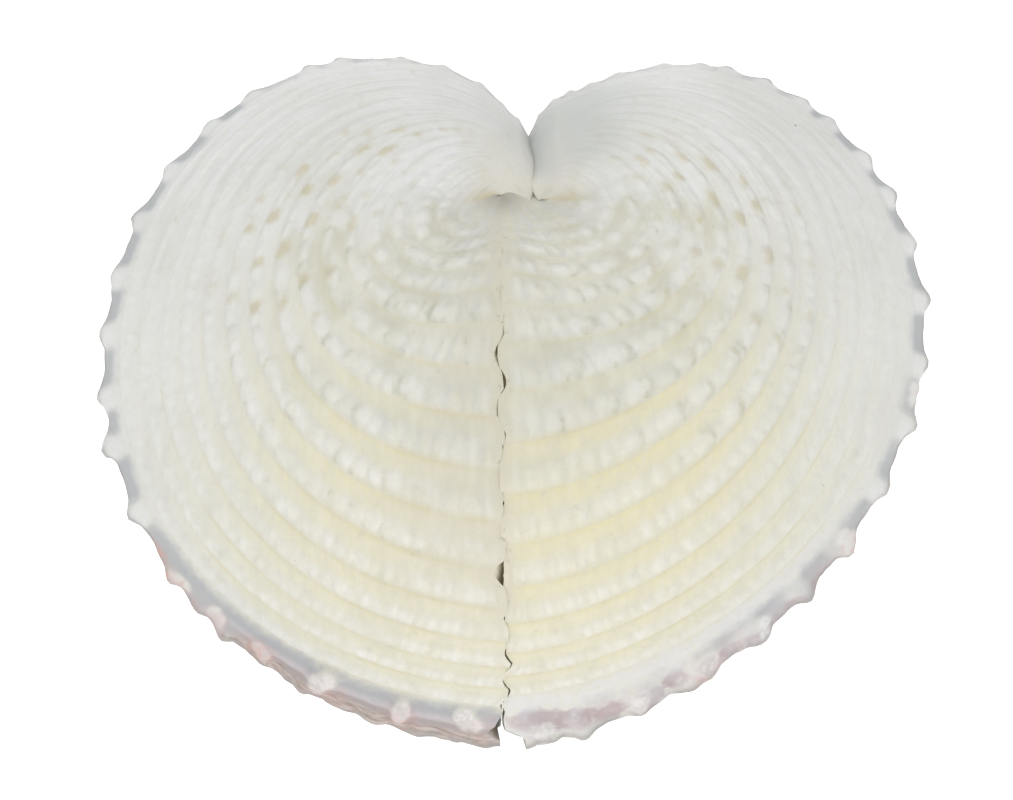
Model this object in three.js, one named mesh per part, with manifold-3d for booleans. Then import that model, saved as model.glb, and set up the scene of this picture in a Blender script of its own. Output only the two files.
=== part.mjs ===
// Heart cockle: a closed pair of thin, keeled valves lying flat, lobes toward +Y, point toward -Y,
// the ribbed face with the windows up (+Z).  Millimetres.
//
// Each valve is one coiled bowl.  Its margin is a closed curve in the plane between the valves: out
// from the beak over the upper face to the keel, and back under the lower face.  Growth has turned
// that margin about a pole at the beak and scaled it, so every older margin is a smaller, turned copy.
// Growth angle 0 is the margin of today; larger angles run back up the lobe into the umbo.
import * as THREE from 'three';
import Module from 'manifold-3d';
import { mergeVertices } from 'three/addons/utils/BufferGeometryUtils.js';

const wasm = await Module();
wasm.setup();

// ---- driving dimensions ----
const DEG = Math.PI / 180;
const SEAM_GAP = 0.3;         // clearance between the two margins
const WALL = 0.9;             // shell wall at the middle of each face
const POLE_RADIUS = 0.2;      // the coil leaves this small open pole
const UPPER = { rise: 9.0, crest: 0.43, hinge: 3.0, inner: 2.2, outer: 1.9 };
const LOWER = { rise: 13.0, crest: 0.488, hinge: 3.0, inner: 2.8, outer: 2.8 };
const LOWER_BULGE = { height: 0.17, angle: 40 * DEG, spread: 30 * DEG };
const FLATTENING = 0.15;      // how fast the section's height falls with the growth angle squared
const COIL_END = 252 * DEG;   // where the umbo tip ends
const CAVITY_END = 148 * DEG; // the hollow stops here; the older umbo is filled
const SCALE_PITCH = 8 * DEG;  // growth between two scales of the keel
const SCALE_HEIGHT = 0.55;    // how far a scale stands out of the keel at the margin

// keel reach from the pole: exp of a polynomial in the growth angle up to half a turn, then a
// logarithmic spiral; drift: how the pole wanders along X while the valve grows
const LEFT = {
  side: -1,
  reach: [3.6916, -0.0659, -0.0501, -0.0736, 0.0103],
  spiral: 2.4,
  drift: [
    { by: 0.72, from: 40 * DEG, to: 120 * DEG },
    { by: 1.35, from: 130 * DEG, to: 250 * DEG },
  ],
};
const RIGHT = {
  side: 1,
  reach: [3.6871, -0.0427, -0.3923, 0.3891, -0.2047, 0.0327],
  spiral: 2.0,
  drift: [
    { by: 2.65, from: 0, to: 80 * DEG },
    { by: 0.95, from: 150 * DEG, to: 210 * DEG },
  ],
};

// ---- growth law ----
const smooth = (t) => {
  const c = Math.min(1, Math.max(0, t));
  return c * c * (3 - 2 * c);
};

function keelReach(valve, angle) {
  const within = Math.min(angle, Math.PI);
  const power = valve.reach.reduceRight((sum, c) => sum * within + c, 0);
  return Math.exp(power - valve.spiral * (angle - within));
}

function poleX(valve, angle) {
  const steps = valve.drift.map((d) => d.by * smooth((angle - d.from) / (d.to - d.from)));
  return valve.side * SEAM_GAP / 2 + steps.reduce((a, b) => a + b, 0);
}

// height of one face of the margin, f = 0 at the pole and 1 at the keel
function faceHeight(face, f) {
  if (f < face.crest) {
    const lack = (face.crest - f) / face.crest;
    return face.rise - (face.rise - face.hinge) * lack ** face.inner;
  }
  return face.rise * (1 - ((f - face.crest) / (1 - face.crest)) ** face.outer);
}

function heightScale(angle, lower) {
  const plain = Math.exp(-FLATTENING * angle * angle);
  const off = (angle - LOWER_BULGE.angle) / LOWER_BULGE.spread;
  return lower ? plain + LOWER_BULGE.height * Math.exp(-off * off) : plain;
}

// margin coordinate: 0 upper pole, 1 keel, 2 lower pole, then 3 back at the upper pole along the axis
function sectionPoint(valve, angle, margin) {
  const reach = keelReach(valve, angle);
  const upperHinge = UPPER.hinge * heightScale(angle, false);
  const lowerHinge = -LOWER.hinge * heightScale(angle, true);
  if (margin > 2) return { r: POLE_RADIUS, z: lowerHinge + (upperHinge - lowerHinge) * (margin - 2) };
  const lower = margin > 1;
  const f = lower ? 2 - margin : margin;
  const face = lower ? LOWER : UPPER;
  const z = (lower ? -1 : 1) * faceHeight(face, f) * heightScale(angle, lower);
  return { r: POLE_RADIUS + f * (reach - POLE_RADIUS), z };
}

function toSpace(valve, angle, p) {
  const x = poleX(valve, angle) + valve.side * p.r * Math.sin(angle);
  return [x, -p.r * Math.cos(angle), p.z];
}

// ---- stations ----
// the margin is sampled more closely toward the keel; the last stations run along the pole
function marginStations() {
  const out = [];
  const upperSteps = 18;
  const lowerSteps = 14;
  const poleSteps = 4; // the two ends are the poles themselves
  for (let i = 0; i <= upperSteps; i += 1) out.push(1 - (1 - i / upperSteps) ** 1.15);
  for (let i = 1; i <= lowerSteps; i += 1) out.push(1 + (i / lowerSteps) ** 1.15);
  for (let i = 1; i < poleSteps; i += 1) out.push(2 + i / poleSteps);
  return out;
}

// half a scale pitch each down the open part, a whole pitch each in the umbo
function growthStations(end) {
  const out = [];
  let angle = 0;
  while (angle < end - 1e-6) {
    out.push(angle);
    angle += angle < 180 * DEG ? SCALE_PITCH / 2 : SCALE_PITCH;
  }
  out.push(end);
  return out;
}

// ---- one valve as a closed mesh ----
function valveGeometry(valve) {
  const points = [];
  const faces = [];
  const add = (p) => points.push(p) - 1;
  const tri = (a, b, c) => faces.push(valve.side > 0 ? [a, b, c] : [a, c, b]);
  const quad = (a, b, c, d) => {
    tri(a, b, c);
    tri(a, c, d);
  };
  const margin = marginStations();
  const keelIndex = margin.findIndex((m) => Math.abs(m - 1) < 1e-9);

  // outer face, row by row back through growth; every second row carries a scale on the keel
  const outer = growthStations(COIL_END).map((angle, row) => margin.map((m, i) => {
    const p = sectionPoint(valve, angle, m);
    if (i === keelIndex && row % 2 === 1 && angle < 180 * DEG) {
      p.r += SCALE_HEIGHT * Math.sqrt(keelReach(valve, angle) / keelReach(valve, 0));
    }
    return add(toSpace(valve, angle, p));
  }));

  // cavity: the same sections shrunk about their middle, every second margin station
  const cavity = growthStations(CAVITY_END).filter((a, i) => i % 2 === 0).map((angle) => {
    const middle = { r: 0.46 * keelReach(valve, angle), z: -2 * heightScale(angle, true) };
    const shrink = 1 - WALL / (0.5 * (UPPER.rise + LOWER.rise) * heightScale(angle, false));
    return margin.filter((m, i) => i % 2 === 0).map((m) => {
      const p = sectionPoint(valve, angle, m);
      const r = middle.r + shrink * (p.r - middle.r);
      const z = middle.z + shrink * (p.z - middle.z);
      return add(toSpace(valve, angle, { r, z }));
    });
  });

  const skin = (rows, outward) => {
    for (let a = 0; a + 1 < rows.length; a += 1) {
      const n = rows[a].length;
      for (let i = 0; i < n; i += 1) {
        const j = (i + 1) % n;
        if (outward) quad(rows[a][i], rows[a][j], rows[a + 1][j], rows[a + 1][i]);
        else quad(rows[a][j], rows[a][i], rows[a + 1][i], rows[a + 1][j]);
      }
    }
  };
  const cap = (row, outward) => {
    const mid = [0, 1, 2].map((k) => row.reduce((s, v) => s + points[v][k], 0) / row.length);
    const hub = add(mid);
    row.forEach((v, i) => {
      const next = row[(i + 1) % row.length];
      if (outward) tri(v, next, hub);
      else tri(next, v, hub);
    });
  };
  skin(outer, true);
  skin(cavity, false);
  cap(outer[outer.length - 1], true);
  cap(cavity[cavity.length - 1], false);

  // the flat margin joins the outer face to the cavity: three triangles for each cavity edge
  const rim = outer[0];
  const lip = cavity[0];
  lip.forEach((v, k) => {
    const next = lip[(k + 1) % lip.length];
    const a = rim[2 * k];
    const b = rim[2 * k + 1];
    const c = rim[(2 * k + 2) % rim.length];
    tri(v, b, a);
    tri(v, next, b);
    tri(next, c, b);
  });

  const geometry = new THREE.BufferGeometry();
  geometry.setAttribute('position', new THREE.Float32BufferAttribute(points.flat(), 3));
  geometry.setIndex(faces.flat());
  return geometry;
}

// ---- ligament: a small horny spindle bedded in the seam just below the beaks ----
const LIGAMENT = { length: 3.4, radius: 0.42, from: 2.3, sink: 0.12, clearance: 0.28 };

function ligamentGeometry(grow) {
  const rings = 8;
  const profile = [];
  for (let i = 0; i <= rings; i += 1) {
    const t = i / rings;
    const along = (t - 0.5) * (LIGAMENT.length + 2 * grow);
    const radius = (LIGAMENT.radius + grow) * Math.sin(Math.PI * t) ** 0.6;
    profile.push(new THREE.Vector2(i === 0 || i === rings ? 0 : radius, along));
  }
  const geometry = new THREE.LatheGeometry(profile, 10);
  const reach = keelReach(LEFT, 0);
  const height = (y) => faceHeight(UPPER, (y - POLE_RADIUS) / (reach - POLE_RADIUS));
  const slope = Math.atan2(height(LIGAMENT.from + 1) - height(LIGAMENT.from - 1), 2);
  geometry.rotateX(-slope);
  geometry.translate(0, -LIGAMENT.from, height(LIGAMENT.from) - LIGAMENT.sink);
  return geometry;
}

// ---- joins and cuts ----
function toSolid(geometry) {
  const bare = geometry.clone();
  bare.deleteAttribute('normal');
  bare.deleteAttribute('uv');
  const merged = mergeVertices(bare, 1e-5);
  return new wasm.Manifold(new wasm.Mesh({
    numProp: 3,
    vertProperties: merged.attributes.position.array,
    triVerts: new Uint32Array(merged.index.array),
  }));
}

function fromSolid(solid) {
  const mesh = solid.getMesh();
  const geometry = new THREE.BufferGeometry();
  geometry.setAttribute('position', new THREE.BufferAttribute(mesh.vertProperties, 3));
  geometry.setIndex(new THREE.BufferAttribute(mesh.triVerts, 1));
  return geometry;
}

// each valve has a bed for the ligament cut into its margin
const bed = toSolid(ligamentGeometry(LIGAMENT.clearance));
const valveSolid = (valve) => fromSolid(toSolid(valveGeometry(valve)).subtract(bed));

// ---- materials and the finished shell ----
const shellMaterial = new THREE.MeshStandardMaterial({ color: 0xe6e4d8, roughness: 0.5, metalness: 0 });
const ligamentMaterial = new THREE.MeshStandardMaterial({ color: 0x8d8676, roughness: 0.7, metalness: 0 });

const named = (name, geometry, material) => {
  const mesh = new THREE.Mesh(geometry, material);
  mesh.name = name;
  return mesh;
};

const shell = new THREE.Group();
shell.add(named('left_valve', valveSolid(LEFT), shellMaterial));
shell.add(named('right_valve', valveSolid(RIGHT), shellMaterial));
shell.add(named('ligament', ligamentGeometry(0), ligamentMaterial));

// the origin is under the middle of the shell, where it rests
const box = new THREE.Box3().setFromObject(shell, true);
const middle = box.getCenter(new THREE.Vector3());
shell.position.set(-middle.x, -middle.y, -box.min.z);
shell.updateMatrixWorld(true);

export default shell;
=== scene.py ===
"""A closed heart cockle shell: two thin keeled valves and the dried ligament between their beaks."""
import math

import bmesh
import bpy
import numpy as np
from mathutils import Matrix, Vector


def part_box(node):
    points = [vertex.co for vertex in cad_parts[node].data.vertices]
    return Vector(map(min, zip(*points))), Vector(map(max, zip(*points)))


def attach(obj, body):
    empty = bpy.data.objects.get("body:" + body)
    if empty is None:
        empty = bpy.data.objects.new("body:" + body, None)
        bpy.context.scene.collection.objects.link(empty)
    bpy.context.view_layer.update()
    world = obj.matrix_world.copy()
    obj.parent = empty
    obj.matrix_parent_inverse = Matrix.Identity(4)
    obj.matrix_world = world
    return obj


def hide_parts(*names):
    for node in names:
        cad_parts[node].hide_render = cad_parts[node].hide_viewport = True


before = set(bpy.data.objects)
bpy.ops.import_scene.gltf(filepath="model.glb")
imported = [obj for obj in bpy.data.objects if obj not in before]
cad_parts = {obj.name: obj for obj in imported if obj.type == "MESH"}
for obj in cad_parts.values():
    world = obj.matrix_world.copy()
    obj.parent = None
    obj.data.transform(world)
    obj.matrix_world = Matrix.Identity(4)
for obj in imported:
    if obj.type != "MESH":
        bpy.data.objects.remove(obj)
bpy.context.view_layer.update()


# ---- the two valves ----
# Each valve is one bowl of chalky shell, grown by turning its margin about the beak and scaling it.
# Seventeen flat ribs with beads and clear windows run round it, and scales stand along the keel.
MM = 0.001
SEAM_GAP = 0.3
UPPER = dict(rise=9.0, crest=0.43, hinge=3.0, inner=2.2, outer=1.9)
LOWER = dict(rise=13.0, crest=0.488, hinge=3.0, inner=2.8, outer=2.8)
LOWER_BULGE = dict(height=0.17, angle=40, spread=30)
FLATTENING = 0.15
POLE_RADIUS = 0.04
COIL_END = 252
CAVITY_END = 148
WALL = 0.9
# Growth angles are in degrees back from the seam. For each valve:
# reach: a polynomial in the growth angle in radians; its exponential is the keel's reach in mm
# spiral: how fast that reach shrinks past half a turn
# drift: sideways shifts of the pole in mm, each with the angles it comes in between
# waist: shares by which the reach narrows or widens, each with its angle and spread
# retreat: degrees by which the margin falls back near the point
# hook, hook_start: share of the retreat taken back, and the rib coordinate where that starts
LEFT = dict(
    side=-1, seed=11, rib_offset=0.0,
    reach=(3.6916, -0.0659, -0.0501, -0.0736, 0.0103), spiral=2.4,
    drift=((0.72, 40, 120), (1.30, 130, 250)), waist=((-0.09, 176, 10), (0.14, 205, 16)),
    retreat=1.2, hook=0.85, hook_start=0.983,
    # scales along the keel by growth angle
    scales=(2, 9, 13.5, 18, 22, 27, 32, 36, 40.5, 48.8, 57, 63, 70.7, 78, 86, 94, 102.7, 110.6,
            121.4, 127.6, 140.5, 151.3, 163, 171, 180),
    # stout knobs beside them: angle, rib coordinate, half length, half width, height, pinkness
    knobs=((3.5, 0.966, 1.3, 0.75, 0.22, 0.35), (11.0, 0.968, 1.0, 0.95, 0.55, 0.55),
           (19.4, 0.966, 1.35, 0.85, 0.60, 0.45), (27.8, 0.975, 0.9, 0.6, 0.25, 1.15),
           (33.8, 0.982, 0.8, 0.8, 0.12, 0.5), (40.6, 0.984, 1.7, 0.40, 0.15, 1.8),
           (57.0, 0.988, 0.8, 0.6, 0.30, 0.0)),
    # mauve stains on the keel: angle, spread, rib coordinate, strength
    stains=((1.5, 1.2, 0.962, 0.5), (8, 2.5, 0.972, 0.3), (34, 2, 0.99, 0.6)),
    # clear windows: for each rib, growth angle and clearness
    windows={
        3: ((58, 0.5),), 4: ((21, 0.4), (36, 0.6), (59, 0.5), (84, 0.4)),
        5: ((45, 0.4), (65, 0.4), (79, 0.6), (101, 0.4)),
        6: ((10, 0.4), (29, 0.7), (41, 0.5), (54, 0.5), (75, 0.7), (88, 0.6), (102, 0.5)),
        7: ((37, 0.6), (52, 0.5), (64, 0.7), (85, 0.8), (97, 0.5), (107, 0.7), (120, 0.5), (132, 0.5)),
        8: ((27, 0.6), (42, 0.4), (55, 0.6), (65, 0.8), (80, 0.9), (93, 0.8), (104, 0.8), (116, 0.6)),
        9: ((33, 0.5), (41, 0.7), (51, 0.5), (62, 1.0), (74, 1.0), (89, 1.0), (101, 0.5), (111, 0.6)),
        10: ((44, 0.5), (53, 0.8), (64, 1.0), (73, 0.9), (83, 1.0), (95, 1.0), (108, 0.4)),
        11: ((45, 0.4), (53, 0.5), (60, 0.5), (68, 0.6), (74, 0.5), (81, 0.7), (88, 0.5), (97, 0.5)),
        12: ((71, 0.5), (80, 0.4), (87, 0.4)),
    },
)
RIGHT = dict(
    side=1, seed=29, rib_offset=0.5,
    reach=(3.6871, -0.0427, -0.3923, 0.3891, -0.2047, 0.0327), spiral=2.0,
    drift=((2.65, 0, 80),), waist=((-0.05, 155, 15), (-0.11, 182, 8)),
    retreat=0.5, hook=-4.0, hook_start=0.976,
    scales=(2.3, 8.5, 14.7, 20.5, 28.5, 35.7, 42.2, 50.2, 58.3, 66.2, 74.5, 82.5, 89.7, 96.2,
            103.7, 109, 116, 123, 128, 135.7, 146.6, 154.5, 163, 171, 180),
    knobs=((4.5, 0.985, 1.2, 0.8, 0.30, 0.1), (14.7, 0.98, 0.8, 0.6, 0.30, 0.2),
           (22.5, 0.98, 1.2, 0.9, 0.40, 0.7), (30.0, 0.985, 0.9, 0.7, 0.40, 0.0),
           (43.0, 0.98, 0.8, 0.7, 0.30, 0.8), (62.0, 0.985, 0.8, 0.8, 0.30, 0.4)),
    stains=((3.5, 2.4, 0.965, 1.0), (7.5, 2.6, 0.974, 1.0), (11.5, 2.0, 0.982, 0.8), (16.5, 1.4, 0.985, 0.7),
            (19.0, 1.3, 0.975, 1.0), (24.5, 2.6, 0.986, 1.0), (29, 2.6, 0.992, 1.0), (33.5, 2.4, 0.994, 0.9),
            (38, 2.2, 0.995, 0.8), (49, 2.5, 0.995, 0.5)),
    windows={
        3: ((56, 0.6),), 4: ((29, 0.6), (52, 0.4), (84, 0.5)),
        5: ((36, 0.4), (53, 0.7), (76, 0.4), (98, 0.5), (112, 0.4)),
        6: ((22, 0.4), (40, 0.4), (56, 0.6), (68, 0.5), (78, 0.5), (91, 0.6), (106, 0.6), (124, 0.4)),
        7: ((12, 0.5), (30, 0.6), (52, 0.7), (67, 0.8), (79, 0.7), (95, 0.7), (109, 0.5), (133, 0.4)),
        8: ((22, 0.5), (34, 0.7), (44, 0.5), (57, 0.8), (67, 0.8), (86, 1.0), (102, 0.8), (116, 0.6)),
        9: ((26, 0.6), (34, 0.8), (45, 0.7), (55, 0.6), (67, 0.9), (81, 1.0), (98, 0.8), (113, 0.5)),
        10: ((27, 0.5), (36, 0.6), (43, 0.7), (51, 0.8), (59, 0.9), (72, 0.6), (85, 0.9), (92, 0.7),
             (103, 0.4)),
        11: ((38, 0.5), (45, 0.6), (58, 0.7), (67, 0.6), (74, 0.6), (84, 0.4)),
        12: ((58, 0.3), (65, 0.4), (74, 0.4), (85, 0.5), (91, 0.3), (97, 0.3)),
    },
)
right_low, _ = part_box("right_valve")
_, left_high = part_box("left_valve")
ligament_low, ligament_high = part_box("ligament")
BEAK = Vector((
    right_low.x / MM - SEAM_GAP / 2,
    (ligament_low.y + ligament_high.y) / 2 / MM + 2.3,
    left_high.z / MM - UPPER["rise"],
))


def ease(t):
    """A smooth step from 0 to 1 as t goes from 0 to 1."""
    t = np.clip(t, 0, 1)
    return t * t * (3 - 2 * t)


def bump(distance, half):
    """A smooth hill of height 1, falling away from distance 0."""
    return np.exp(-(distance / half) ** 2)


def keel_reach(valve, angle):
    """How far the keel stands from the pole, in mm, at a growth angle in radians."""
    within = np.minimum(angle, math.pi)
    power = np.polynomial.polynomial.polyval(within, valve["reach"])
    shape = 1 + sum(share * bump(np.degrees(angle) - at, spread) for share, at, spread in valve["waist"])
    return shape * np.exp(power - valve["spiral"] * (angle - within))


def pole_x(valve, angle):
    """Sideways place of the pole in mm toward +X, which drifts with growth angle."""
    degrees = np.degrees(angle)
    return sum(by * ease((degrees - start) / (end - start)) for by, start, end in valve["drift"])


def face_height(face, f):
    """Height of a plain face from hinge to crest to keel, at a share f of the keel's reach."""
    lack = np.clip((face["crest"] - f) / face["crest"], 0, 1)
    over = np.clip((f - face["crest"]) / (1 - face["crest"]), 0, 1)
    near = face["rise"] - (face["rise"] - face["hinge"]) * lack ** face["inner"]
    far = face["rise"] * (1 - over ** face["outer"])
    return np.where(f < face["crest"], near, far)


def height_scale(angle, lower):
    """How the height shrinks with growth angle, and the bulge that the lower face adds."""
    off = (np.degrees(angle) - LOWER_BULGE["angle"]) / LOWER_BULGE["spread"]
    return np.exp(-FLATTENING * angle ** 2) + lower * LOWER_BULGE["height"] * np.exp(-off ** 2)


# A place on a valve has a rib coordinate: 0 at the pole, 1 at the keel, 2 at the pole underneath.
RIB_PITCH = 0.055      # rib spacing as a share of the keel's reach
KEEL_BAND = 0.945      # the last rib ends here and the smooth band of the keel begins
LIP_EDGE = 0.979       # the layered lip of the left keel begins here


def rib_share(v, angle):
    """Where rib coordinate v lies between pole and keel: the ribs crowd and spread near the seam."""
    t = ease(np.degrees(angle) / 60)
    w = 1 - ease(np.degrees(angle) / 85)
    inside = np.minimum(v, KEEL_BAND)
    shift = (1 - t) * -0.030 * inside + t * 0.016 * np.minimum(1, inside / 0.2)
    f = inside + shift + w * 10.5 * inside ** 2 * (1 - inside) ** 2 * (inside - 0.61)
    past = np.clip((v - KEEL_BAND) / (1 - KEEL_BAND), 0, 1)
    return f + (1 - f) * past


# how the seam wanders: distance below the beak, then sideways place toward +X
SEAM_LINE = (
    (0, 0), (4, 0), (7, 0), (9.8, 0.10), (10.4, 0.12), (11.0, -0.22), (11.4, -0.35), (11.9, -0.40),
    (12.4, -0.30), (12.75, -0.10), (13.0, 0.06), (13.5, 0.20), (13.9, 0.22), (14.3, 0.12), (14.55, -0.06),
    (14.8, -0.26), (15.3, -0.33), (15.9, -0.32), (16.3, -0.20), (16.9, 0.20), (17.6, 0.28), (18.1, 0.10),
    (19.2, -0.10), (21.0, -0.08), (22.2, 0.15), (23.4, -0.05), (24.4, -0.03), (25.1, 0.38), (25.9, 0.25),
    (26.3, 0.15), (27.9, 0.15), (28.7, 0.36), (29.5, 0.40), (30.3, 0.20), (31.3, 0.46), (32.0, 0.45),
    (32.5, 0.31), (32.9, 0.25), (33.3, 0.43), (33.6, 0.72), (33.9, 0.62), (34.4, 0.25), (34.9, 0.08),
    (35.2, 0.23), (35.6, 0.56), (36.1, 0.45), (36.4, 0.15), (36.7, -0.05), (37.3, 0.15), (38, 0), (45, 0),
)
# where the margins stand apart: from, to, then how far the left and the right one fall back
SEAM_CRACKS = (
    (9.7, 10.8, 0.04, 0.05), (11.0, 12.85, 0.10, 0.11), (12.75, 14.6, 0.10, 0.12), (14.55, 16.3, 0.08, 0.08),
    (17.0, 17.8, 0.04, 0.05), (18.0, 18.4, 0.05, 0.05), (22.0, 22.4, 0.06, 0.06), (26.25, 27.95, 0.60, 0.02),
    (30.1, 30.6, 0.06, 0.05), (32.4, 34.1, 0.07, 0.08), (34.8, 36.2, 0.07, 0.08), (36.3, 37.5, 0.07, 0.08),
)


def seam_shift(valve, r, v):
    """Sideways place of the margin toward +X, at a distance r below the beak."""
    at, place = zip(*SEAM_LINE)
    step = np.interp(r, at, range(len(at)))
    low = np.minimum(np.floor(step).astype(int), len(at) - 2)
    t = ease(step - low)
    x = np.take(place, low) * (1 - t) + np.take(place, low + 1) * t
    back = -0.03 + 0 * r
    for start, end, left_back, right_back in SEAM_CRACKS:
        t = np.clip((r - start) / (end - start), 0, 1)
        width = left_back if valve["side"] < 0 else right_back
        back = back + (width + 0.03 * (width > 0)) * np.sin(math.pi * t) ** 0.6
    back = np.where(v > 1, 0.02, back)
    return np.where(v > 1, 0.6, 1) * x + valve["side"] * back


def margin_angle(valve, rows, v):
    """Growth angle of each row at each column: near the point the margin falls back from the seam."""
    keelward = 1 - np.abs(v - 1)
    start = np.where(v > 1, 0.960, 0.940)
    fall_back = np.radians(valve["retreat"]) * ease((keelward - start) / (0.990 - start))
    fall_back = fall_back * (1 - valve["hook"] * ease((keelward - valve["hook_start"]) / 0.009))
    fall_back = fall_back + np.radians(0.5) * bump(keelward - LIP_EDGE, 0.004) * (valve["side"] < 0)
    blend = np.radians(14)
    return np.where(rows < blend, fall_back + rows * (1 - fall_back / blend), rows) + 0 * v


# where the columns of the grid fall within a rib of each face, and within the keel band
RIB_STOPS = (0, 0.04, 0.09, 0.16, 0.25, 0.34, 0.44, 0.54, 0.64, 0.74, 0.84, 0.93)
LOWER_STOPS = (0, 0.14, 0.60)
BAND_STOPS = (0.0, 0.08, 0.17, 0.27, 0.37, 0.47, 0.57, 0.67, 0.76, 0.84, 0.91, 0.96)
POLE_COLUMNS = [2.25, 2.5, 2.75]
MOST_RIBS = 20


def margin_columns(valve):
    """Rib coordinates of the columns round the margin: upper face, keel, lower face, pole."""
    def face(stops):
        every = [(k + s - valve["rib_offset"]) * RIB_PITCH for k in range(MOST_RIBS) for s in stops]
        return [v for v in every if 0 < v < KEEL_BAND - 0.004]
    band = [KEEL_BAND + (1 - KEEL_BAND) * s for s in BAND_STOPS]
    upper = [0] + face(RIB_STOPS) + band + [1]
    lower = [0] + face(LOWER_STOPS) + band[::2]
    return np.array(upper + [2 - v for v in reversed(lower)] + POLE_COLUMNS)


GROWTH_ROWS = 300
UMBO_ROWS = 26


def growth_rows():
    """Growth angles of the rows, closer together near the seam."""
    share = (np.arange(GROWTH_ROWS + 1) / GROWTH_ROWS) ** 1.2
    umbo = np.linspace(180, COIL_END, UMBO_ROWS + 1)[1:]
    return np.radians(np.concatenate([180 * share, umbo]))


def upper_height(angle, f, r):
    """The flat face, and the rounded umbones that bulge behind the beaks."""
    plain = face_height(UPPER, f) * height_scale(angle, 0)
    degrees = np.degrees(angle)
    dome = ease((degrees - 100) / 60) * bump(r, 5.5) * (1 - 0.85 * ease((degrees - 214) / 34))
    height = plain * (1 - dome) + dome * 3.0 * (1 - f ** 3)
    rounded = ease((degrees - 50) / 40) * (1 - ease((degrees - 210) / 18)) * bump(r, 1.5)
    return height * (1 - rounded) + 2.95 * rounded


def section(valve, angle, v):
    """Points of the plain valve at growth angles and rib coordinates, before ribs and scales."""
    lower = v > 1
    along = np.where(lower, 2 - v, v)
    f = np.where(lower, along, rib_share(along, angle))
    f = np.clip(f, 0, 1)
    reach = keel_reach(valve, angle)
    r = POLE_RADIUS + f * (reach - POLE_RADIUS)
    up = upper_height(angle, f, r)
    down = -face_height(LOWER, f) * height_scale(angle, 1)
    z = np.where(lower, down, up)
    pole = v > 2
    z_top = upper_height(angle, 0 * f, 0 * r + POLE_RADIUS)
    z_low = -LOWER["hinge"] * height_scale(angle, 1)
    z = np.where(pole, z_low + (z_top - z_low) * (v - 2), z)
    r = np.where(pole, POLE_RADIUS, r)
    return r, z, f


def to_space(valve, angle, r, z):
    """Places in space, in mm from the beak, of points at a distance r from the pole and a height z."""
    x = pole_x(valve, angle) + valve["side"] * r * np.sin(angle)
    return np.stack([x, -r * np.cos(angle), z], axis=-1)


def outward(points, side):
    """Unit normals of a grid of points, growth down the rows and margin along the columns."""
    down = np.gradient(points, axis=0)
    across = np.gradient(points, axis=1)
    normal = np.cross(across, down) * side
    return normal / np.maximum(np.linalg.norm(normal, axis=2, keepdims=True), 1e-9)


def wander(rng, x, pitch, size=600):
    """Smooth random numbers from 0 to 1 along a line, one knot every pitch."""
    knots = rng.random(size)
    at = np.clip(x / pitch, 0, size - 2)
    low = np.floor(at).astype(int)
    t = ease(at - low)
    return knots[low] * (1 - t) + knots[low + 1] * t


def grow_scales(valve, rng, degrees, reach, size):
    """How far the scales push the keel out, and where each one stands clear of the grey band."""
    push, scale = np.zeros_like(degrees), np.zeros_like(degrees)
    for tip in valve["scales"]:
        s = np.radians(degrees - tip) * reach
        leaning = np.where(s > 0, bump(s, 0.85 * size + 0.15), bump(s, 0.55 * size + 0.1))
        smaller = 0.45 if valve["side"] < 0 and tip < 30 else 1
        push = np.maximum(push, (0.42 + 0.34 * rng.random()) * smaller * leaning)
        clear = np.where(s > 0, bump(s, 0.65 * size), 1 - ease((-s - 0.9 * size) / (1.1 * size)))
        scale = np.maximum(scale, clear * (0.75 + 0.25 * rng.random()))
    return push, scale


COARSE_RIBS = 8        # the ribs nearest the beak carry coarser lumps
LONGEST_ROW = 75       # no lumps are set further than this from the seam, in mm along a rib


def grow_lumps(rng, number, phase, lower, wall, arc):
    """Rounded lumps along the outer strip of each rib, with a cleft behind the boldest, whose mask also
    paints its shadow.
    """
    lump, cleft_shade = np.zeros_like(phase), np.zeros_like(phase)
    for k in range(MOST_RIBS):
        coarse = 1 if k < COARSE_RIBS else 0
        for face in (False, True):
            columns = np.where((number[0] == k) & (lower[0] == face) & wall[0])[0]
            if not len(columns):
                continue
            lead = arc[:, [columns[len(columns) * 2 // 3]]]
            inside = phase[:, columns]
            bold = 0.45 + 0.55 * rng.random()
            at, longest = 0.3 * rng.random(), min(lead.max(), LONGEST_ROW)
            while at < longest:
                pitch = min(0.95 + 0.035 * at, 1.5 + 0.3 * coarse) * (0.7 + 0.6 * rng.random())
                pitch = pitch * (0.75 if k > 11 else 1)
                centre = 0.68 - 0.12 * coarse + (0.10 + 0.16 * coarse) * (rng.random() - 0.5)
                half = 0.27 + 0.08 * coarse + 0.06 * rng.random() + 0.12 * math.exp(-at / 4)
                du, ds = (inside - centre) / half, (lead - at) / (0.56 * pitch)
                away = np.hypot(du, ds)
                shy = 0.65 + 0.35 * bold if at < 5 else 1
                dome = (1 - ease((away - 0.12) / 1.05)) * (0.45 + 0.55 * rng.random()) * shy
                lump[:, columns] = np.maximum(lump[:, columns], dome)
                behind = ease((0.85 * ds + 0.35 * du) / np.maximum(away, 0.1) - 0.1)
                hollow = bump(away - 1.12, 0.30) * behind * rng.random() ** 1.8
                cleft_shade[:, columns] = np.maximum(cleft_shade[:, columns], hollow)
                at += pitch
    return lump, cleft_shade


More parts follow.
